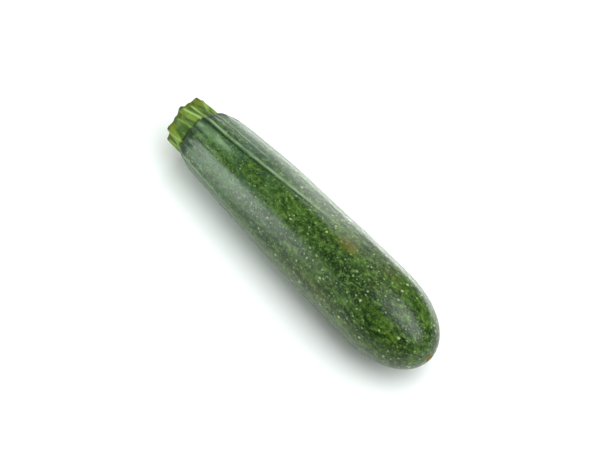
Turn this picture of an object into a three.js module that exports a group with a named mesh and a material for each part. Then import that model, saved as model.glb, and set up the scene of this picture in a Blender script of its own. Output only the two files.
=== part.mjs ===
// A whole courgette lying on a table: the ribbed cut stem at -X and the blossom end at +X.
// Units are millimetres and +Z is up. The origin is on the table, in the middle of the small
// flat spot that the fruit rests on, under its centre of mass.
import * as THREE from "three";

// Driving dimensions
const STEM_LENGTH = 13;
const FRUIT_LENGTH = 177;
const JUNCTION_X = -85.45; // where the stem meets the fruit
const STEM_RADIUS = 14.6; // at the crests of its ribs
const BELLY_RADIUS = 22.25;
const BELLY_AT = 136; // from the junction; past it the end rounds off
const END_FULLNESS = 2.14; // 2 would round the blossom end off as an ellipse

// The fruit's mean radius from the junction to the belly, as [distance, radius]
const FLANK = [
  [0, 13.7],
  [1.4, 15.7],
  [4, 16.9],
  [8, 17.6],
  [14, 18.2],
  [24, 18.9],
  [40, 20],
  [65, 21.2],
  [95, 22],
  [118, 22.25],
  [BELLY_AT, BELLY_RADIUS],
];

// How the axis wanders sideways, as [x, y], and its height over the table
const BOW = [
  [-100, -1],
  [-85, -0.2],
  [-70, 0.15],
  [-35, 0.7],
  [0, 0.35],
  [45, -0.4],
  [91, -1.55],
];
const AXIS_HEIGHT = 21.4;
const AXIS_SLOPE = 0.026;
const AXIS_SAG = 0.00016;

// Ribs: five strong ones and five weaker ones between them, unevenly spaced
const STRONG_RIBS = 5;
const FIRST_RIB = THREE.MathUtils.degToRad(91.5);
const RIB_CROWDING = 0.12;
const CROWDED_AT = THREE.MathUtils.degToRad(300);
const RIB_HEIGHT = 0.85;
const CORNER_HEIGHT = 0.3; // the wide swelling under each strong rib
const LASTING_RIB = 0.12; // what is left of a rib far from the stem
const RIB_REACH = 60; // the distance over which the ribs fade along the fruit
const FADE_POWER = 1.4;
const WEAK_RIB = 0.6;
const RIB_SHARPNESS = 5;

// Low swells of the skin, as height, waves round the fruit, waves per mm along it, and phase
const SWELLS = [
  [0.16, 2, 0.035, 0.4],
  [0.11, 3, -0.06, 2.1],
  [0.05, 0, 0.115, 1.3],
];
const SWELLS_FROM = 20; // they grow to their full height over this distance

// The stem's section and its cut end
const STEM_SHARPNESS = 1.6;
const WEAK_STEM_RIB = 0.92;
const WEAKEST_STEM_RIB = 0.49; // barely a ridge
const WEAKEST_AT = THREE.MathUtils.degToRad(105);
const WEAK_STEM_GROWTH = 1.2; // how soon the weak ribs recover away from there
const STEM_GROOVE_LEVEL = 0.594; // what crest() gives in the stem's grooves
const GROOVE_DEPTH = 0.126; // as a share of the stem's radius
const GROOVE_DEPTH_AT_FOOT = 0.076;
const GROOVE_GROWTH = 5; // the height over which the grooves deepen
const STEM_TWIST = THREE.MathUtils.degToRad(12.3);
const CUT_CROWDING = 0.62; // the ribs crowd to one side towards the cut
const CUT_CROWDED_AT = THREE.MathUtils.degToRad(101);
const FOOT_LIP = 0.05;
const FOOT_LIP_HEIGHT = 0.7;
const FLARE = 0.027; // the stem's gain of radius from foot to cut, as a share
const STEM_SHIFT = -0.9; // along Y, off the fruit's axis
const CUT_SLANT = 2.35;
const CUT_SHORTEST_AT = THREE.MathUtils.degToRad(201);
const CUT_DISH = 1.3;

// The dry scar left by the flower
const SCAR_RADIUS = 2.5;
const SCAR_RIM = 0.3;
const SCAR_RIM_WIDTH = 0.6;
const SCAR_DISH = 0.45;
const SCAR_FLOOR_RADIUS = 0.4;
const SCAR_NUB = 0.6;
const SCAR_NUB_RADIUS = 0.8;

// Mesh resolution
const SIDES = 100;
const FLANK_RINGS = [
  0, 0.6, 1.4, 2.6, 4.2, 6.2, 8.6, 11.5, 15, 19.5, 25, 31.5, 39, 47, 56, 65, 75, 85, 95, 105, 115,
  124, 131.5,
];
const END_RINGS = 13;
const SCAR_RINGS = [3.4, 2.5, 1.8, 1.2, 0.6];
const STEM_RINGS = [12.5, 11, 8.8, 6.4, 4.2, 2.4, 1.2, 0.45, 0];
const CUT_RINGS = [0.28, 0.55, 0.8, 0.93, 1];

// The value at a place on the smooth curve through a list of [place, value] points.
function through(points, place) {
  const last = points.length - 2;
  let i = 0;
  while (i < last && place > points[i + 1][0]) i += 1;
  const slope = (k) => {
    const before = points[Math.max(k - 1, 0)];
    const after = points[Math.min(k + 1, points.length - 1)];
    return (after[1] - before[1]) / (after[0] - before[0]);
  };
  const [x0, y0] = points[i];
  const [x1, y1] = points[i + 1];
  const span = x1 - x0;
  const t = (place - x0) / span;
  const rise = y0 * (1 + 2 * t) * (1 - t) ** 2 + y1 * t * t * (3 - 2 * t);
  return rise + span * (slope(i) * t * (1 - t) ** 2 - slope(i + 1) * t * t * (1 - t));
}

// A bump of height 1 that dies away over a width on either side of zero.
function bump(offset, width) {
  return Math.exp(-((offset / width) ** 2));
}

// The angle counted from the first strong rib, with the ribs crowded on one side.
function ribAngle(angle) {
  return angle - FIRST_RIB + RIB_CROWDING * Math.sin(angle - CROWDED_AT);
}

// 1 on a strong rib, less on a weak one, and low in the grooves between them.
function crest(ribbed, sharpness, weak) {
  const strong = 0.5 + 0.5 * Math.cos(STRONG_RIBS * ribbed);
  return strong ** sharpness + weak * (1 - strong) ** sharpness;
}

// How far the skin stands out from its mean radius: ribs that fade from the stem, and low swells.
function relief(distance, angle) {
  const ribbed = ribAngle(angle);
  const fade = Math.exp(-((distance / RIB_REACH) ** FADE_POWER));
  const height = RIB_HEIGHT * fade + LASTING_RIB;
  const ribs = height * crest(ribbed, RIB_SHARPNESS, WEAK_RIB);
  const corners = CORNER_HEIGHT * fade * Math.cos(STRONG_RIBS * ribbed);
  let swells = 0;
  for (const [swell, round, along, phase] of SWELLS)
    swells += swell * Math.sin(round * angle + along * distance + phase);
  return ribs + corners + swells * THREE.MathUtils.smoothstep(distance, 0, SWELLS_FROM);
}

// A point at an angle round the axis; the angle runs from +Y towards +Z.
function offAxis(x, radius, angle) {
  const height = AXIS_HEIGHT + AXIS_SLOPE * x + AXIS_SAG * x * x;
  const y = through(BOW, x) + radius * Math.cos(angle);
  const z = height + radius * Math.sin(angle);
  return new THREE.Vector3(x, y, Math.max(z, 0)); // the low spot is pressed flat on the table
}

function ring(pointAt) {
  return Array.from({ length: SIDES }, (_, j) => pointAt((j / SIDES) * 2 * Math.PI));
}

// A closed surface over rings in order along +X, each joined to the next, with a point at each end.
function skinOver(firstTip, rings, lastTip) {
  const points = [firstTip, ...rings.flat(), lastTip];
  const at = (i, j) => 1 + i * SIDES + (j % SIDES);
  const end = rings.length - 1;
  const faces = [];
  for (let j = 0; j < SIDES; j += 1) {
    faces.push(0, at(0, j + 1), at(0, j));
    for (let i = 0; i < end; i += 1) {
      faces.push(at(i, j), at(i, j + 1), at(i + 1, j));
      faces.push(at(i, j + 1), at(i + 1, j + 1), at(i + 1, j));
    }
    faces.push(points.length - 1, at(end, j), at(end, j + 1));
  }
  const geometry = new THREE.BufferGeometry().setFromPoints(points);
  geometry.setIndex(faces);
  geometry.computeVertexNormals();
  return geometry;
}

// Blossom end: the share of its length past the belly that the skin reaches at a given radius.
function endReach(radius) {
  return (1 - (radius / BELLY_RADIUS) ** END_FULLNESS) ** (1 / END_FULLNESS);
}

// Height of the scar's rim, dish and dry nub over the blossom end, at a radius from its middle.
function scarRelief(radius) {
  const rim = SCAR_RIM * bump(radius - SCAR_RADIUS, SCAR_RIM_WIDTH);
  const inside = 1 - THREE.MathUtils.smoothstep(radius, SCAR_FLOOR_RADIUS, SCAR_RADIUS);
  return rim - SCAR_DISH * inside + SCAR_NUB * bump(radius, SCAR_NUB_RADIUS);
}

function fruitGeometry() {
  const endLength = FRUIT_LENGTH - BELLY_AT;
  const flank = FLANK_RINGS.map((distance) =>
    ring((angle) => {
      const radius = through(FLANK, distance) + relief(distance, angle);
      return offAxis(JUNCTION_X + distance, radius, angle);
    }),
  );
  const lastTurn = Math.acos((SCAR_RINGS[0] / BELLY_RADIUS) ** (END_FULLNESS / 2));
  const end = Array.from({ length: END_RINGS }, (_, i) => {
    const turn = (i / END_RINGS) * lastTurn;
    const distance = BELLY_AT + endLength * Math.sin(turn) ** (2 / END_FULLNESS);
    const roundness = Math.cos(turn) ** (2 / END_FULLNESS);
    return ring((angle) => {
      const radius = (BELLY_RADIUS + relief(distance, angle)) * roundness;
      return offAxis(JUNCTION_X + distance, radius, angle);
    });
  });
  const scarX = (radius) =>
    JUNCTION_X + BELLY_AT + endLength * endReach(radius) + scarRelief(radius);
  const scar = SCAR_RINGS.map((radius) => ring((angle) => offAxis(scarX(radius), radius, angle)));
  const rings = [...flank, ...end, ...scar];
  return skinOver(offAxis(JUNCTION_X, 0, 0), rings, offAxis(scarX(0), 0, 0));
}

// The stem's radius at a height over the junction: a lipped foot and a slight flare to the cut.
function stemRadius(height, angle) {
  const share = height / STEM_LENGTH;
  const shape = 1 - FOOT_LIP * bump(height, FOOT_LIP_HEIGHT) + FLARE * share;
  const turned = STEM_TWIST - CUT_CROWDING * Math.sin(angle - CUT_CROWDED_AT);
  const recovered = (WEAK_STEM_GROWTH * (1 - Math.cos(angle - WEAKEST_AT))) / 2;
  const weak = Math.min(WEAK_STEM_RIB, WEAKEST_STEM_RIB + recovered);
  const rib = crest(ribAngle(angle) - turned * share, STEM_SHARPNESS, weak);
  const groove = (1 - rib) / (1 - STEM_GROOVE_LEVEL);
  const grown = THREE.MathUtils.smoothstep(height, 0, GROOVE_GROWTH);
  const depth = THREE.MathUtils.lerp(GROOVE_DEPTH_AT_FOOT, GROOVE_DEPTH, grown);
  return STEM_RADIUS * shape * (1 - depth * groove);
}

// A point of the stem, which stands a little off the fruit's axis.
function offStem(x, radius, angle) {
  const point = offAxis(x, radius, angle);
  point.y += STEM_SHIFT;
  return point;
}

function stemGeometry() {
  const lean = (angle) => CUT_SLANT * Math.cos(angle - CUT_SHORTEST_AT);
  const cutX = (share, angle) =>
    JUNCTION_X - STEM_LENGTH + CUT_DISH * (1 - share ** 3) + share * lean(angle);
  const cut = CUT_RINGS.map((share) =>
    ring((angle) => offStem(cutX(share, angle), share * stemRadius(STEM_LENGTH, angle), angle)),
  );
  const side = STEM_RINGS.map((height) =>
    ring((angle) => {
      const x = JUNCTION_X - height + lean(angle) * (height / STEM_LENGTH) ** 2;
      return offStem(x, stemRadius(height, angle), angle);
    }),
  );
  return skinOver(offStem(cutX(0, 0), 0, 0), [...cut, ...side], offStem(JUNCTION_X, 0, 0));
}

function piece(name, geometry, color, roughness) {
  const material = new THREE.MeshStandardMaterial({ color, roughness, metalness: 0 });
  const mesh = new THREE.Mesh(geometry, material);
  mesh.name = name;
  return mesh;
}

const courgette = new THREE.Group();
courgette.add(piece("fruit", fruitGeometry(), 0x3d5a25, 0.38));
courgette.add(piece("stem", stemGeometry(), 0x7c9636, 0.6));

export default courgette;
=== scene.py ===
import math

import bpy
import numpy as np
from mathutils import Matrix, Vector


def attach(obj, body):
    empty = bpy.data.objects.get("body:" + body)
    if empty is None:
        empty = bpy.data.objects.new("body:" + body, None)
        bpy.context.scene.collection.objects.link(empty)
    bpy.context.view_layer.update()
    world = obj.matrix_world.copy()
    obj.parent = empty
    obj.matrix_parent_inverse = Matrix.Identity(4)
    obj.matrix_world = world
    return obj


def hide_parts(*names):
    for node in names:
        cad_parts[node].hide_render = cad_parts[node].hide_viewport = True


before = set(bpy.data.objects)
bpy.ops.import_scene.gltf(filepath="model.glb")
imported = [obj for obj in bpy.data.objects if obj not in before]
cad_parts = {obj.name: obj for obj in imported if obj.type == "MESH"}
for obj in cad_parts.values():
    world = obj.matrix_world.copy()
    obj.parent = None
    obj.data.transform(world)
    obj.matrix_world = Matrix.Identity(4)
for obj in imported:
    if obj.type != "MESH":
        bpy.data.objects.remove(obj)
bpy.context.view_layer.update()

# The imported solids' own values, in millimetres
STEM_LENGTH = 13.0
FRUIT_LENGTH = 177.0
JUNCTION_X = -85.45
STEM_RADIUS = 14.6
BELLY_RADIUS = 22.25
BELLY_AT = 136.0
END_FULLNESS = 2.14
FLANK = [
    (0, 13.7), (1.4, 15.7), (4, 16.9), (8, 17.6), (14, 18.2), (24, 18.9),
    (40, 20), (65, 21.2), (95, 22), (118, 22.25), (BELLY_AT, BELLY_RADIUS),
]
BOW = [(-100, -1), (-85, -0.2), (-70, 0.15), (-35, 0.7), (0, 0.35), (45, -0.4), (91, -1.55)]
AXIS_HEIGHT = 21.4
AXIS_SLOPE = 0.026
AXIS_SAG = 0.00016
STRONG_RIBS = 5
FIRST_RIB = math.radians(91.5)
RIB_CROWDING = 0.12
CROWDED_AT = math.radians(300)
RIB_HEIGHT = 0.85
CORNER_HEIGHT = 0.3
LASTING_RIB = 0.12
RIB_REACH = 60.0
FADE_POWER = 1.4
WEAK_RIB = 0.6
RIB_SHARPNESS = 5
SWELLS = [(0.16, 2, 0.035, 0.4), (0.11, 3, -0.06, 2.1), (0.05, 0, 0.115, 1.3)]
SWELLS_FROM = 20.0
STEM_SHARPNESS = 1.6
WEAK_STEM_RIB = 0.92
WEAKEST_STEM_RIB = 0.49
WEAKEST_AT = math.radians(105)
WEAK_STEM_GROWTH = 1.2
STEM_GROOVE_LEVEL = 0.594
GROOVE_DEPTH = 0.126
GROOVE_DEPTH_AT_FOOT = 0.076
GROOVE_GROWTH = 5.0
STEM_TWIST = math.radians(12.3)
CUT_CROWDING = 0.62
CUT_CROWDED_AT = math.radians(101)
FOOT_LIP = 0.05
FOOT_LIP_HEIGHT = 0.7
FLARE = 0.027
STEM_SHIFT = -0.9
CUT_SLANT = 2.35
CUT_SHORTEST_AT = math.radians(201)
CUT_DISH = 1.3
SCAR_RADIUS = 2.5
SCAR_RIM = 0.3
SCAR_RIM_WIDTH = 0.6
SCAR_DISH = 0.45
SCAR_FLOOR_RADIUS = 0.4
SCAR_NUB = 0.6
SCAR_NUB_RADIUS = 0.8

# Finer mesh of the pieces that show
FRUIT_SIDES = 400
SHOULDER_LENGTH = 10.0
SHOULDER_RINGS = 22
FLANK_RINGS = 96
END_RINGS = 46
SCAR_RINGS = 24
SCAR_RINGS_FROM = 4.4
SCAR_RINGS_TO = 0.25
FAR_FROM_TIP = 30.0
STEM_SIDES = 400
CUT_RINGS = 34
SMALLEST_CUT_RING = 0.02
STEM_SIDE_RINGS = 70
RIDGE_RISE = 0.12
FURROW_DEPTH = 0.22

# The stem's foot is sunk into the fruit, so that no gap shows
ROOT_DEPTH = 0.8
ROOT_INSET = 1.2


def through(points, place):
    """A smooth curve through the points, read at a place."""
    points = np.array(points, float)
    x, y = points.T
    steps = np.arange(len(x))
    before, after = np.maximum(steps - 1, 0), np.minimum(steps + 1, len(x) - 1)
    slope = (y[after] - y[before]) / (x[after] - x[before])
    i = np.clip(np.searchsorted(x, place) - 1, 0, len(x) - 2)
    span = x[i + 1] - x[i]
    t = (place - x[i]) / span
    rise = y[i] * (1 + 2 * t) * (1 - t) ** 2 + y[i + 1] * t * t * (3 - 2 * t)
    return rise + span * (slope[i] * t * (1 - t) ** 2 - slope[i + 1] * t * t * (1 - t))


def smoothstep(x, low, high):
    t = np.clip((x - low) / (high - low), 0, 1)
    return t * t * (3 - 2 * t)


def bump(offset, width):
    return np.exp(-((offset / width) ** 2))


def rib_angle(angle):
    return angle - FIRST_RIB + RIB_CROWDING * np.sin(angle - CROWDED_AT)


def crest(ribbed, sharpness, weak):
    strong = 0.5 + 0.5 * np.cos(STRONG_RIBS * ribbed)
    return strong**sharpness + weak * (1 - strong) ** sharpness


def relief(distance, angle):
    """How far the skin stands off the plain flank: ribs, corners between them and low swells."""
    ribbed = rib_angle(angle)
    fade = np.exp(-((distance / RIB_REACH) ** FADE_POWER))
    ribs = (RIB_HEIGHT * fade + LASTING_RIB) * crest(ribbed, RIB_SHARPNESS, WEAK_RIB)
    corners = CORNER_HEIGHT * fade * np.cos(STRONG_RIBS * ribbed)
    swells = sum(h * np.sin(n * angle + k * distance + p) for h, n, k, p in SWELLS)
    return ribs + corners + swells * smoothstep(distance, 0, SWELLS_FROM)


def off_axis(x, radius, angle):
    """Points round the fruit's bent axis, no lower than the table."""
    height = AXIS_HEIGHT + AXIS_SLOPE * x + AXIS_SAG * x * x
    y = through(BOW, x) + radius * np.cos(angle)
    z = height + radius * np.sin(angle)
    return np.stack(np.broadcast_arrays(x, y, np.maximum(z, 0)), -1)


# Skin lines that run along the fruit from the stem: a pale ridge, its pale colour partly a
# painted highlight on the crest, with a dark furrow beside it, its dark colour painted shade,
# as (angle in degrees, reach in mm, strength, width in mm, furrow's strength, sideways drift
# in mm over 100 mm)
LINES = [
    (88, 118, 1.0, 0.75, 1.0, -5.8), (103, 42, 0.75, 1.9, 0.0, 0), (119, 34, 0.4, 0.9, 0.8, 0),
    (168, 62, 0.85, 0.7, 0.9, 0), (206, 58, 0.7, 0.7, 0.8, 0), (241, 40, 0.5, 0.8, 0.5, 0),
    (274, 60, 0.8, 0.7, 0.9, 0), (307, 36, 0.5, 0.8, 0.4, 0), (339, 60, 0.8, 0.7, 0.9, 2),
    (13, 62, 0.8, 0.7, 0.9, 0), (49, 30, 0.25, 0.8, 0.0, 0), (68, 70, 0.5, 0.5, 0.0, 0),
]
FURROW_WIDTH = 0.5
FURROW_OFFSET = 1.65
LINE_WANDER = 0.3
LINE_WANDER_LENGTH = 21
LINE_FADES_FROM = 0.4

# Spots of olive-orange skin, as (distance, angle in degrees, half length, half width, strength)
BLUSHES = [
    (114, 84, 5.5, 3.0, 1.0), (138, 70, 9.0, 2.5, 0.2), (118, 158, 14.0, 2.5, 0.3),
    (60, 250, 9.0, 4.0, 0.5), (95, 330, 6.0, 4.0, 0.5), (120, 215, 10.0, 3.0, 0.4),
]


def skin_lines(distance, angle, radius):
    """How strongly the pale ridges, partly a painted highlight, and the dark furrows, painted shade,
    show at a point.
    """
    pale_and_highlight = np.zeros(np.broadcast(distance, angle).shape)
    furrow_shade = np.zeros_like(pale_and_highlight)
    for degrees, reach, strength, width, furrow, drift in LINES:
        away = (angle - math.radians(degrees) + np.pi) % (2 * np.pi) - np.pi
        wave = LINE_WANDER * np.sin(distance / LINE_WANDER_LENGTH + degrees)
        wander = drift * (distance / 100) ** 2 + wave
        offset = away * radius - wander
        fade = strength * (1 - smoothstep(distance, LINE_FADES_FROM * reach, reach))
        pale_and_highlight = np.maximum(pale_and_highlight, fade * bump(offset, width))
        furrow_shade = np.maximum(furrow_shade, furrow * fade * bump(offset - FURROW_OFFSET, FURROW_WIDTH))
    return pale_and_highlight, furrow_shade


def blush(distance, angle, radius):
    """How olive-orange the skin is at a point."""
    total = np.zeros(np.broadcast(distance, angle).shape)
    for middle, degrees, half_length, half_width, strength in BLUSHES:
        away = (angle - math.radians(degrees) + np.pi) % (2 * np.pi) - np.pi
        spot = bump(distance - middle, half_length) * bump(away * radius, half_width)
        total = np.maximum(total, strength * spot)
    return total


def mesh_object(name, first_tip, rings, last_tip, values):
    """A closed skin over rings, with a point at each end and named values at its points."""
    count, sides = rings.shape[:2]
    points = np.concatenate([[first_tip], rings.reshape(-1, 3), [last_tip]]) * 0.001
    j = np.arange(sides)
    k = (j + 1) % sides
    faces = []
    for i in range(count - 1):
        a, b = 1 + i * sides, 1 + (i + 1) * sides
        faces.append(np.stack([a + j, a + k, b + k, b + j], 1))
    end = 1 + (count - 1) * sides
    triangles = [
        np.stack([np.zeros_like(j), 1 + k, 1 + j], 1),
        np.stack([np.full_like(j, len(points) - 1), end + j, end + k], 1),
    ]
    mesh = bpy.data.meshes.new(name)
    everything = [f for block in faces + triangles for f in block.tolist()]
    mesh.from_pydata(points.tolist(), [], everything)
    for label, (first, field, last) in values.items():
        whole = np.concatenate([[first], field.ravel(), [last]]).astype(np.float32)
        mesh.attributes.new(label, "FLOAT", "POINT").data.foreach_set("value", whole)
    mesh.shade_smooth()
    piece = bpy.data.objects.new(name, mesh)
    bpy.context.scene.collection.objects.link(piece)
    return piece


def end_reach(radius):
    """How far along the blunt end a radius lies, as a share of its length."""
    return (1 - (radius / BELLY_RADIUS) ** END_FULLNESS) ** (1 / END_FULLNESS)


def scar_relief(radius):
    rim = SCAR_RIM * bump(radius - SCAR_RADIUS, SCAR_RIM_WIDTH)
    inside = 1 - smoothstep(radius, SCAR_FLOOR_RADIUS, SCAR_RADIUS)
    return rim - SCAR_DISH * inside + SCAR_NUB * bump(radius, SCAR_NUB_RADIUS)


def fruit():
    angle = np.linspace(0, 2 * np.pi, FRUIT_SIDES, endpoint=False)[None, :]
    end_length = FRUIT_LENGTH - BELLY_AT
    shoulder = np.linspace(0, SHOULDER_LENGTH, SHOULDER_RINGS)[:-1]
    flank = np.concatenate([shoulder, np.linspace(SHOULDER_LENGTH, BELLY_AT, FLANK_RINGS)])[:, None]
    radius = through(FLANK, flank) + relief(flank, angle)
    pale_and_highlight, furrow_shade = skin_lines(flank, angle, radius)
    ridge = radius + RIDGE_RISE * pale_and_highlight - FURROW_DEPTH * furrow_shade
    flank_rings = off_axis(JUNCTION_X + flank, ridge, angle)

    scar_radii = np.linspace(SCAR_RINGS_FROM, SCAR_RINGS_TO, SCAR_RINGS)[:, None]
    last_turn = math.acos((scar_radii[0, 0] / BELLY_RADIUS) ** (END_FULLNESS / 2))
    turn = np.linspace(0, last_turn, END_RINGS)[1:-1, None]
    past = BELLY_AT + end_length * np.sin(turn) ** (2 / END_FULLNESS)
    roundness = np.cos(turn) ** (2 / END_FULLNESS)
    end_radius = (BELLY_RADIUS + relief(past, angle)) * roundness
    end_rings = off_axis(JUNCTION_X + past, end_radius, angle)

    def scar_x(r):
        return JUNCTION_X + BELLY_AT + end_length * end_reach(r) + scar_relief(r)

    # The scar is slightly out of round
    wobble = 1 + 0.09 * np.sin(2 * angle + 0.7) + 0.05 * np.sin(5 * angle)
    scar_rings = off_axis(scar_x(scar_radii / wobble), scar_radii, angle)

    def everywhere(on_flank, on_end, on_scar):
        blocks = zip((on_flank, on_end, on_scar), (flank_rings, end_rings, scar_rings))
        return np.concatenate([np.broadcast_to(value, rings.shape[:2]) for value, rings in blocks])

    spots = everywhere(blush(flank, angle, radius), blush(past, angle, end_radius), 0)
    to_tip = everywhere(FAR_FROM_TIP, end_radius / wobble, scar_radii / wobble)
    values = {
        "along": (0.0, everywhere(flank, past, FRUIT_LENGTH), FRUIT_LENGTH),
        # The pale lines are partly a painted highlight, the dark lines painted shade
        "pale_line_and_highlight": (0.0, everywhere(pale_and_highlight, 0, 0), 0.0),
        "furrow_shade_line": (0.0, everywhere(furrow_shade, 0, 0), 0.0),
        "blush": (0.0, spots, 0.0),
        "from_tip": (FAR_FROM_TIP, to_tip, 0.0),
    }
    foot = off_axis(np.array(JUNCTION_X), np.array(0.0), np.array(0.0))
    tip = off_axis(np.array(scar_x(0.0)), np.array(0.0), np.array(0.0))
    rings = np.concatenate([flank_rings, end_rings, scar_rings])
    return mesh_object("fruit_skin", foot, rings, tip, values)


def stem_radius(height, angle):
    """The stem's radius, and how near to a rib's crest it is: 1 on it, 0 in a groove."""
    share = height / STEM_LENGTH
    shape = 1 - FOOT_LIP * bump(height, FOOT_LIP_HEIGHT) + FLARE * share
    turned = STEM_TWIST - CUT_CROWDING * np.sin(angle - CUT_CROWDED_AT)
    recovered = WEAK_STEM_GROWTH * (1 - np.cos(angle - WEAKEST_AT)) / 2
    weak = np.minimum(WEAK_STEM_RIB, WEAKEST_STEM_RIB + recovered)
    rib = crest(rib_angle(angle) - turned * share, STEM_SHARPNESS, weak)
    groove = (1 - rib) / (1 - STEM_GROOVE_LEVEL)
    grown = smoothstep(height, 0, GROOVE_GROWTH)
    depth = GROOVE_DEPTH_AT_FOOT + (GROOVE_DEPTH - GROOVE_DEPTH_AT_FOOT) * grown
    return STEM_RADIUS * shape * (1 - depth * groove), 1 - groove


# Pale ridge lines of the stem, partly a painted highlight on the crests, as (angle at the foot, angle
# at the cut, strength)
STEM_LINES = [
    (87.5, 101, 1.0), (69, 78, 0.75), (115, 123, 0.4), (157, 159, 0.35), (49, 44, 0.4),
    (188, 182, 0.5), (13, 20, 0.7), (339, 350, 0.6), (307, 318, 0.7), (274, 280, 0.6),
    (241, 240, 0.7), (208, 205, 0.5),
]
STEM_LINE_WIDTH = 0.6
STEM_LINES_FADE_FROM = 9.5
STEM_LINES_END = 12


def stem_lines(height, angle, radius):
    """How strongly the stem's pale ridge lines, partly a painted highlight, show at a point."""
    pale_and_highlight = np.zeros(np.broadcast(height, angle).shape)
    for foot, cut, strength in STEM_LINES:
        middle = np.radians(foot + (cut - foot) * height / STEM_LENGTH)
        away = (angle - middle + np.pi) % (2 * np.pi) - np.pi
        pale_and_highlight = np.maximum(pale_and_highlight, strength * bump(away * radius, STEM_LINE_WIDTH))
    return pale_and_highlight * (1 - smoothstep(height, STEM_LINES_FADE_FROM, STEM_LINES_END))


def off_stem(x, radius, angle):
    return off_axis(x, radius, angle) + np.array([0, STEM_SHIFT, 0])


def stem():
    angle = np.linspace(0, 2 * np.pi, STEM_SIDES, endpoint=False)[None, :]
    lean = CUT_SLANT * np.cos(angle - CUT_SHORTEST_AT)
    top, top_rib = stem_radius(STEM_LENGTH, angle)
    share = np.linspace(SMALLEST_CUT_RING, 1, CUT_RINGS)[:, None]
    cut_x = JUNCTION_X - STEM_LENGTH + CUT_DISH * (1 - share**3) + share * lean
    cut_rings = off_stem(cut_x, share * top, angle)
    height = np.linspace(STEM_LENGTH, 0, STEM_SIDE_RINGS)[1:, None]
    radius, rib = stem_radius(height, angle)
    side_x = JUNCTION_X - height + lean * (height / STEM_LENGTH) ** 2
    side_rings = off_stem(side_x, radius, angle)
    root_rings = off_stem(np.array(JUNCTION_X + ROOT_DEPTH), radius[-1:] - ROOT_INSET, angle)

    def everywhere(on_cut, on_side, on_root):
        blocks = zip((on_cut, on_side, on_root), (cut_rings, side_rings, root_rings))
        return np.concatenate([np.broadcast_to(value, rings.shape[:2]) for value, rings in blocks])

    # "cut" is 0 in the middle of the cut face, 1 at its edge and 2 everywhere else
    values = {
        "height": (STEM_LENGTH, everywhere(STEM_LENGTH, height, 0), 0.0),
        "rib": (0.5, everywhere(top_rib, rib, rib[-1:]), 0.5),
        "cut": (0.0, everywhere(share, 2, 2), 2.0),
        "line": (0.0, everywhere(0, stem_lines(height, angle, radius), 0), 0.0),
    }
    middle = off_stem(np.array(JUNCTION_X - STEM_LENGTH + CUT_DISH), np.array(0.0), np.array(0.0))
    foot = off_stem(np.array(JUNCTION_X + ROOT_DEPTH), np.array(0.0), np.array(0.0))
    rings = np.concatenate([cut_rings, side_rings, root_rings])
    return mesh_object("stem_flesh", middle, rings, foot, values)


def srgb(red, green, blue):
    """Linear colour from 0-255 display values."""
    share = [c / 255 for c in (red, green, blue)]
    return tuple(c / 12.92 if c <= 0.04045 else ((c + 0.055) / 1.055) ** 2.4 for c in share) + (1.0,)


class Graph:
    """The node tree of a material or a light, built from the texture towards the shader."""

    def __init__(self, owner, shader="Principled BSDF"):
        owner.use_nodes = True
        self.tree = owner.node_tree
        self.shader = self.tree.nodes[shader]

    def node(self, kind, inputs=(), **settings):
        made = self.tree.nodes.new(kind)
        for key, value in settings.items():
            setattr(made, key, value)
        for key, value in dict(inputs).items():
            self.feed(made.inputs[key], value)
        return made

    def feed(self, socket, value):
        if isinstance(value, bpy.types.NodeSocket):
            self.tree.links.new(value, socket)
        else:
            socket.default_value = value

    def value(self, name):
        """A named value of the mesh."""
        return self.node("ShaderNodeAttribute", attribute_name=name).outputs["Fac"]

    def place(self, scale):
        """The point in millimetres, in the row frame, stretched by scale."""
        spot = self.node("ShaderNodeTexCoord").outputs["Object"]
        return self.node(
            "ShaderNodeVectorMath", {0: spot, 1: tuple(1000 * s for s in scale)}, operation="MULTIPLY"
        ).outputs[0]

    def noise(self, size, stretch, detail, roughness, shift=0.0):
        """Noise with features of that size in mm, stretched along the fruit; 0 to 1."""
        spot = self.node(
            "ShaderNodeVectorMath",
            {0: self.place((1 / stretch, 1, 1)), 1: (shift, shift, shift)},
            operation="ADD",
        ).outputs[0]
        return self.node(
            "ShaderNodeTexNoise",
            {"Vector": spot, "Scale": 1 / size, "Detail": detail, "Roughness": roughness},
        ).outputs["Fac"]

    def cells(self, size, stretch):
        """Distance to the nearest of scattered points in cell widths, and that point's draw."""
        made = self.node(
            "ShaderNodeTexVoronoi",
            {"Vector": self.place((1 / stretch, 1, 1)), "Scale": 1 / size, "Randomness": 1.0},
        )
        draw = self.node("ShaderNodeSeparateColor", {"Color": made.outputs["Color"]})
        return made.outputs["Distance"], draw.outputs["Red"], draw.outputs["Green"]

    def math(self, operation, *values, clamp=False):
        return self.node(
            "ShaderNodeMath", dict(enumerate(values)), operation=operation, use_clamp=clamp
        ).outputs[0]

    def span(self, value, low, high, out_low=0.0, out_high=1.0):
        """Value mapped smoothly from low..high to out_low..out_high."""
        return self.node(
            "ShaderNodeMapRange",
            {"Value": value, "From Min": low, "From Max": high, "To Min": out_low, "To Max": out_high},
            interpolation_type="SMOOTHSTEP",
        ).outputs["Result"]

    def mix(self, share, first, second):
        """First colour with a share of the second over it."""
        made = self.node("ShaderNodeMix", data_type="RGBA")
        self.feed(made.inputs["Factor"], share)
        self.feed(made.inputs[6], first)
        self.feed(made.inputs[7], second)
        return made.outputs[2]

    def bump(self, height, depth, normal=None):
        """A bump of that depth in mm for a height of 0 to 1."""
        inputs = {"Height": height, "Strength": 1.0, "Distance": depth * 0.001}
        if normal:
            inputs["Normal"] = normal
        return self.node("ShaderNodeBump", inputs).outputs["Normal"]


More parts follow.
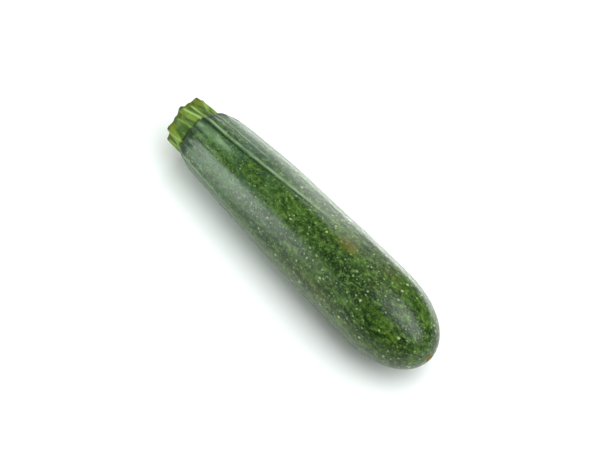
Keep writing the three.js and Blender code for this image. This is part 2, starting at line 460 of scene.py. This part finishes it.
def flecks(g, size, least, most, soft, share, stretch):
    """Round pale spots: one in a share of the cells, of a random size in cell widths."""
    away, draw, other = g.cells(size, stretch)
    radius = g.span(other, 0.0, 1.0, least, most)
    inside = g.math("SUBTRACT", radius, away)
    spot = g.math("DIVIDE", inside, soft, clamp=True)
    kept = g.math("LESS_THAN", draw, share)
    return g.math("MULTIPLY", spot, kept)


# Colours of the skin
GROUND, CLOUD, STREAK, YELLOWED = srgb(19, 46, 2), srgb(37, 67, 6), srgb(61, 90, 26), srgb(74, 94, 15)
LIGHT_BAND, DARK_BAND = srgb(70, 102, 22), srgb(12, 38, 1)
LIGHT_PATCH, DARK_PATCH = srgb(64, 94, 26), srgb(9, 33, 1)
LIGHT_MOTTLE, DARK_MOTTLE = srgb(88, 119, 50), srgb(6, 25, 1)
LIGHT_GRAIN, DARK_GRAIN = srgb(97, 127, 62), srgb(8, 28, 2)
# The grey bloom is partly a painted bluish sheen
BLUSH, BLOOM_AND_SHEEN = srgb(96, 84, 4), srgb(68, 99, 79)
FINE_FLECK, MIDDLE_FLECK, SPARSE_FLECK = srgb(103, 129, 76), srgb(127, 152, 98), srgb(158, 174, 124)
# Painted shade under the stem's foot and in the furrows; the pale line is partly a painted highlight
FRINGE_SHADE, PALE_LINE_AND_HIGHLIGHT, FURROW_SHADE = srgb(13, 43, 2), srgb(140, 167, 128), srgb(14, 39, 7)
SCAR_SURROUND, DARK_CORK, LIGHT_CORK = srgb(104, 114, 60), srgb(100, 56, 14), srgb(146, 90, 32)


def skin_material():
    material = bpy.data.materials.new("skin")
    g = Graph(material)
    along, from_tip = g.value("along"), g.value("from_tip")
    pale_line_and_highlight, furrow_shade_line = g.value("pale_line_and_highlight"), g.value("furrow_shade_line")

    # Ground colour: dark green with clouds, streaks, bands, patches, mottle and grain, coarse to fine
    clouds = g.noise(13, 2.0, 3, 0.55)
    streaks = g.noise(3.2, 6, 3, 0.6, 40)
    bands = g.noise(6.0, 9, 2, 0.5, 52)
    patches = g.noise(5.0, 1.5, 3, 0.6, 27)
    mottle = g.noise(1.9, 1.7, 3, 0.62, 15)
    grain = g.noise(1.0, 1.15, 2, 0.6, 70)
    colour = g.mix(g.span(clouds, 0.36, 0.66), GROUND, CLOUD)
    colour = g.mix(g.span(streaks, 0.46, 0.72, 0.0, 0.5), colour, STREAK)
    yellow_clouds = g.span(g.noise(15, 2, 3, 0.6, 90), 0.46, 0.7)
    yellowed = g.math("MULTIPLY", yellow_clouds, g.span(along, 50, 130, 0.1, 0.6))
    colour = g.mix(yellowed, colour, YELLOWED)
    colour = g.mix(g.span(bands, 0.5, 0.64, 0.0, 0.55), colour, LIGHT_BAND)
    colour = g.mix(g.span(bands, 0.48, 0.36, 0.0, 0.55), colour, DARK_BAND)
    colour = g.mix(g.span(patches, 0.5, 0.66, 0.0, 0.35), colour, LIGHT_PATCH)
    colour = g.mix(g.span(patches, 0.47, 0.33, 0.0, 0.45), colour, DARK_PATCH)
    colour = g.mix(g.span(mottle, 0.51, 0.66, 0.0, 0.78), colour, LIGHT_MOTTLE)
    colour = g.mix(g.span(mottle, 0.49, 0.34, 0.0, 0.84), colour, DARK_MOTTLE)
    colour = g.mix(g.span(grain, 0.53, 0.68, 0.0, 0.45), colour, LIGHT_GRAIN)
    colour = g.mix(g.span(grain, 0.47, 0.32, 0.0, 0.45), colour, DARK_GRAIN)
    blushed = g.math("MULTIPLY", g.value("blush"), g.span(mottle, 0.3, 0.6, 0.3, 0.85))
    colour = g.mix(blushed, colour, BLUSH)

    # A thin grey wax bloom over the stem end, which is partly a painted bluish sheen
    wiped = g.span(g.noise(6, 3, 4, 0.65, 12), 0.35, 0.65)
    bloom_and_sheen = g.math("MULTIPLY", g.span(along, 6, 105, 0.5, 0.0), wiped)
    colour = g.mix(bloom_and_sheen, colour, BLOOM_AND_SHEEN)

    # Pale flecks, finer towards the stem
    fine = flecks(g, 1.5, 0.24, 0.38, 0.14, 0.7, 1.2)
    middle = flecks(g, 2.3, 0.17, 0.26, 0.09, 0.8, 1.3)
    sparse = flecks(g, 5.2, 0.1, 0.145, 0.035, 0.85, 1.15)
    colour = g.mix(g.math("MULTIPLY", fine, g.span(along, 5, 120, 0.3, 0.4)), colour, FINE_FLECK)
    colour = g.mix(g.math("MULTIPLY", middle, g.span(along, 5, 120, 0.5, 0.9)), colour, MIDDLE_FLECK)
    colour = g.mix(g.math("MULTIPLY", sparse, g.span(along, 20, 80, 0.4, 0.9)), colour, SPARSE_FLECK)

    # Painted shade in a ragged fringe under the foot of the stem, and lines along the ribs: pale ones
    # that are partly a painted highlight, dark ones that are painted shade in the furrows
    ragged = g.math("ADD", along, g.math("MULTIPLY", g.noise(1.9, 5, 3, 0.6, 5), -26))
    # Painted shade in a ragged band under the stem's foot, where the skin is also rougher
    shaded_fringe = g.span(ragged, -8.5, -4.5, 1.0, 0.0)
    colour = g.mix(shaded_fringe, colour, FRINGE_SHADE)
    broken = g.span(g.noise(3.5, 4, 3, 0.6, 61), 0.38, 0.62, 0.35, 0.9)
    colour = g.mix(g.math("MULTIPLY", pale_line_and_highlight, broken), colour, PALE_LINE_AND_HIGHLIGHT)
    colour = g.mix(g.math("MULTIPLY", furrow_shade_line, 0.85), colour, FURROW_SHADE)

    # The dry scar of the flower
    tip_noise = g.noise(1.1, 1, 3, 0.6, 33)
    ring = g.math("ADD", from_tip, g.math("MULTIPLY", tip_noise, 1.4))
    colour = g.mix(g.span(ring, 5.0, 2.8, 0.0, 0.4), colour, SCAR_SURROUND)
    scar = g.span(ring, 2.7, 2.1)
    cork = g.mix(g.span(tip_noise, 0.35, 0.65), DARK_CORK, LIGHT_CORK)
    colour = g.mix(scar, colour, cork)

    # Waxy sheen, duller on the scar and the fringe, over low unevenness
    g.feed(g.shader.inputs["Base Color"], colour)
    rough = g.span(g.noise(4, 1.4, 3, 0.6, 55), 0.3, 0.7, 0.28, 0.38)
    rough = g.math("ADD", rough, g.math("MULTIPLY", scar, 0.35), clamp=True)
    rough = g.math("ADD", rough, g.math("MULTIPLY", shaded_fringe, 0.3), clamp=True)
    g.feed(g.shader.inputs["Roughness"], rough)
    normal = g.bump(g.noise(5.5, 1.6, 3, 0.5, 25), 0.16)
    normal = g.bump(mottle, 0.06, normal)
    normal = g.bump(grain, 0.02, normal)
    normal = g.bump(g.math("MULTIPLY", tip_noise, scar), 0.5, normal)
    g.feed(g.shader.inputs["Normal"], normal)
    g.shader.inputs["IOR"].default_value = 1.37
    g.shader.inputs["Coat Weight"].default_value = 0.15
    g.shader.inputs["Coat Roughness"].default_value = 0.2
    return material


# Colours of the stem
DARK_STEM, LIGHT_STEM = srgb(84, 119, 24), srgb(124, 145, 44)
# Painted shade for the grooves and for the foot where the stem meets the fruit
GROOVE_SHADE, STEM_FOOT_SHADE = srgb(32, 67, 4), srgb(35, 69, 10)
# The pale stem line is partly a painted highlight on the ridge crests
LIGHT_FIBRE, DARK_FIBRE, STEM_LINE_AND_HIGHLIGHT = srgb(136, 165, 72), srgb(44, 78, 9), srgb(160, 192, 112)
OLIVE, WORN = srgb(101, 112, 3), srgb(58, 58, 28)
DARK_FACE, LIGHT_FACE, FACE_MIDDLE, FACE_EDGE = (
    srgb(126, 155, 46), srgb(158, 177, 79), srgb(182, 190, 131), srgb(71, 86, 27)
)


def stem_material():
    material = bpy.data.materials.new("stem")
    g = Graph(material)
    height, rib, cut = g.value("height"), g.value("rib"), g.value("cut")
    fibre = g.noise(0.8, 8, 3, 0.6)
    blotch = g.noise(3.2, 1.5, 3, 0.6, 20)

    # Ribbed sides, with painted shade in the grooves and at the foot where the stem meets the fruit
    colour = g.mix(g.span(blotch, 0.35, 0.68), DARK_STEM, LIGHT_STEM)
    colour = g.mix(g.span(rib, 0.55, 0.0, 0.0, 0.85), colour, GROOVE_SHADE)
    colour = g.mix(g.span(fibre, 0.52, 0.72, 0.0, 0.6), colour, LIGHT_FIBRE)
    colour = g.mix(g.span(fibre, 0.48, 0.3, 0.0, 0.6), colour, DARK_FIBRE)
    colour = g.mix(g.span(height, 2.0, 0.0, 0.0, 0.6), colour, STEM_FOOT_SHADE)

    # Dried edge of the cut: olive, and brown on the corners
    olive_clouds = g.span(g.noise(4, 1, 2, 0.5, 31), 0.4, 0.6)
    olive = g.math("MULTIPLY", g.span(height, 5.5, 11), olive_clouds)
    colour = g.mix(olive, colour, OLIVE)
    worn = g.math("MULTIPLY", g.span(height, 10.0, 12.6), g.span(rib, 0.45, 0.9, 0.3, 0.95))
    colour = g.mix(worn, colour, WORN)
    # Pale ridge lines, partly a painted highlight on the crests
    colour = g.mix(g.math("MULTIPLY", g.value("line"), 0.9), colour, STEM_LINE_AND_HIGHLIGHT)

    # Moist cut face
    spokes = g.noise(1.5, 1, 3, 0.6, 8)
    face = g.mix(g.span(spokes, 0.35, 0.65), DARK_FACE, LIGHT_FACE)
    face = g.mix(g.span(cut, 0.5, 0.1, 0.0, 0.75), face, FACE_MIDDLE)
    face = g.mix(g.span(cut, 0.86, 1.0), face, FACE_EDGE)
    colour = g.mix(g.math("LESS_THAN", cut, 1.5), colour, face)

    g.feed(g.shader.inputs["Base Color"], colour)
    g.feed(g.shader.inputs["Roughness"], g.span(blotch, 0.3, 0.7, 0.42, 0.62))
    g.shader.inputs["IOR"].default_value = 1.33
    normal = g.bump(fibre, 0.35)
    normal = g.bump(blotch, 0.4, normal)
    g.feed(g.shader.inputs["Normal"], normal)
    return material


def floor_material():
    material = bpy.data.materials.new("floor")
    g = Graph(material)
    g.shader.inputs["Base Color"].default_value = (0.93, 0.93, 0.93, 1)
    g.shader.inputs["Roughness"].default_value = 0.9
    g.shader.inputs["Specular IOR Level"].default_value = 0.1
    return material


# Share of a softbox's width over which it fades out
SOFT_EDGE = 0.6


def panel(name, place, aim, width, height, radiance, tint, spread=180):
    """A softbox facing a point, its width along X and measured where it is half as bright."""
    light = bpy.data.lights.new(name, "AREA")
    light.shape = "RECTANGLE"
    full = 1 / (1 - SOFT_EDGE / 2)
    light.size, light.size_y = width * full, height * full
    light.energy = radiance * math.pi * light.size * light.size_y
    light.color = tint
    light.spread = math.radians(spread)
    g = Graph(light, "Emission")
    spot = g.node("ShaderNodeNewGeometry").outputs["Parametric"]
    across = g.node("ShaderNodeSeparateXYZ", {"Vector": spot}).outputs
    off = [g.math("ABSOLUTE", g.math("SUBTRACT", across[axis], 0.5)) for axis in "XY"]
    fades = [g.span(value, 0.5 - SOFT_EDGE / 2, 0.5, 1.0, 0.0) for value in off]
    g.feed(g.shader.inputs["Strength"], g.math("MULTIPLY", *fades))
    lamp = bpy.data.objects.new(name, light)
    lamp.location = place
    backward = (Vector(place) - Vector(aim)).normalized()
    upward = backward.cross(Vector((1, 0, 0))).normalized()
    lamp.rotation_euler = Matrix((upward.cross(backward), upward, backward)).transposed().to_euler()
    bpy.context.scene.collection.objects.link(lamp)


skin = fruit()
skin.data.materials.append(skin_material())
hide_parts("fruit")
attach(skin, "root")

stalk = stem()
stalk.data.materials.append(stem_material())
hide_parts("stem")
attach(stalk, "root")

bpy.ops.mesh.primitive_plane_add(size=6)
floor = bpy.context.object
floor.name = "floor"
floor.data.materials.append(floor_material())

# The softboxes whose mirror images make the bright bands along the fruit
panel("stem_end_softbox", (-0.293, -0.32, 0.165), (-0.293, 0, 0.02), 0.17, 0.3, 8.6, (0.9, 1, 0.95))
panel("back_strip", (-0.19, 0.31, 0.187), (-0.19, 0, 0.02), 0.075, 0.3, 5.0, (0.94, 1, 0.94))
panel("low_strip", (-0.5, 0.66, 0.04), (-0.5, 0, 0.02), 0.36, 0.07, 9.6, (0.96, 0.99, 1))
panel("top_softbox", (0.6, 0.13, 0.66), (0.6, 0.13, 0), 1.3, 0.6, 5.0, (0.96, 1, 1))
# A narrow beam on the table behind the fruit, which its upper rim mirrors
panel("table_light", (-0.04, 0.095, 0.3), (-0.04, 0.095, 0), 0.2, 0.02, 12.0, (0.96, 1, 0.97), 16)

WORLD_STRENGTH = 0.13
world = bpy.data.worlds.new("studio")
bpy.context.scene.world = world
world.use_nodes = True
world.node_tree.nodes["Background"].inputs["Color"].default_value = (1, 1, 1, 1)
world.node_tree.nodes["Background"].inputs["Strength"].default_value = WORLD_STRENGTH

bpy.context.scene.view_settings.view_transform = "Standard"

# The camera looks at the fruit from the photograph's angle
CAMERA_LENS = 85
CAMERA_AIM = (-0.00883, 0.00259, 0.02)
CAMERA_DISTANCE = 0.7167
CAMERA_AZIMUTH = math.radians(50.54)
CAMERA_ELEVATION = math.radians(55)
camera_data = bpy.data.cameras.new("camera")
camera_data.lens = CAMERA_LENS
camera = bpy.data.objects.new("camera", camera_data)
back = Vector((
    math.sin(CAMERA_AZIMUTH) * math.cos(CAMERA_ELEVATION),
    -math.cos(CAMERA_AZIMUTH) * math.cos(CAMERA_ELEVATION),
    math.sin(CAMERA_ELEVATION),
))
camera.location = Vector(CAMERA_AIM) + back * CAMERA_DISTANCE
camera.rotation_euler = (-back).to_track_quat("-Z", "Y").to_euler()
bpy.context.scene.collection.objects.link(camera)
bpy.context.scene.camera = camera
